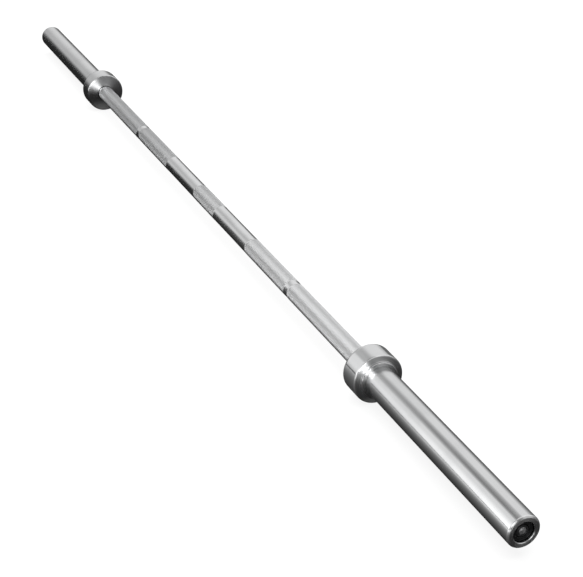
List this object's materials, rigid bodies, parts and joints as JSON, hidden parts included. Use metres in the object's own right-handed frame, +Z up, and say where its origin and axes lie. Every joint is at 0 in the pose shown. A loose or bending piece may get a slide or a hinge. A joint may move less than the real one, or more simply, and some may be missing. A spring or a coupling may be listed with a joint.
{
  "type": "barbell",
  "caption": "Chromed steel barbell with a knurled shaft and broad-collared sleeves that turn freely on bushings, each held by a cap screw in its open end.",
  "frame": {"origin": "middle of the bar, on its axis", "axes": "+X along the bar towards the right sleeve, +Z up, +Y away from the lifter"},
  "size_m": [2.2, 0.0816, 0.0816],
  "materials": {
    "shaft_chrome": "hard chrome over diamond knurling, satin",
    "sleeve_chrome": "bright chrome over a turned surface",
    "black_oxide": "oiled black oxide",
    "pin_steel": "phosphated spring steel",
    "washer_steel": "ground steel",
    "bushing_bronze": "oil-filled sintered bronze",
    "seal_rubber": "matt black"
  },
  "bodies": {
    "shaft": {"shaft": "shaft_chrome", "right_thrust_washer": "washer_steel", "right_retaining_cap": "black_oxide", "right_spring_washer": "black_oxide", "right_end_bolt": "black_oxide", "left_thrust_washer": "washer_steel", "left_retaining_cap": "black_oxide", "left_spring_washer": "black_oxide", "left_end_bolt": "black_oxide"},
    "right_sleeve": {"right_sleeve_tube": "sleeve_chrome", "right_sleeve_collar": "sleeve_chrome", "right_collar_pin": "pin_steel", "right_dust_seal": "seal_rubber", "right_inner_bushing": "bushing_bronze", "right_outer_bushing": "bushing_bronze"},
    "left_sleeve": {"left_sleeve_tube": "sleeve_chrome", "left_sleeve_collar": "sleeve_chrome", "left_collar_pin": "pin_steel", "left_dust_seal": "seal_rubber", "left_inner_bushing": "bushing_bronze", "left_outer_bushing": "bushing_bronze"}
  },
  "joints": [
    {"name": "right_sleeve_spin", "type": "hinge", "parent": "shaft", "child": "right_sleeve", "pos_m": [0.88, 0, 0], "axis": [1, 0, 0], "continuous": true},
    {"name": "left_sleeve_spin", "type": "hinge", "parent": "shaft", "child": "left_sleeve", "pos_m": [-0.88, 0, 0], "axis": [1, 0, 0], "continuous": true}
  ]
}
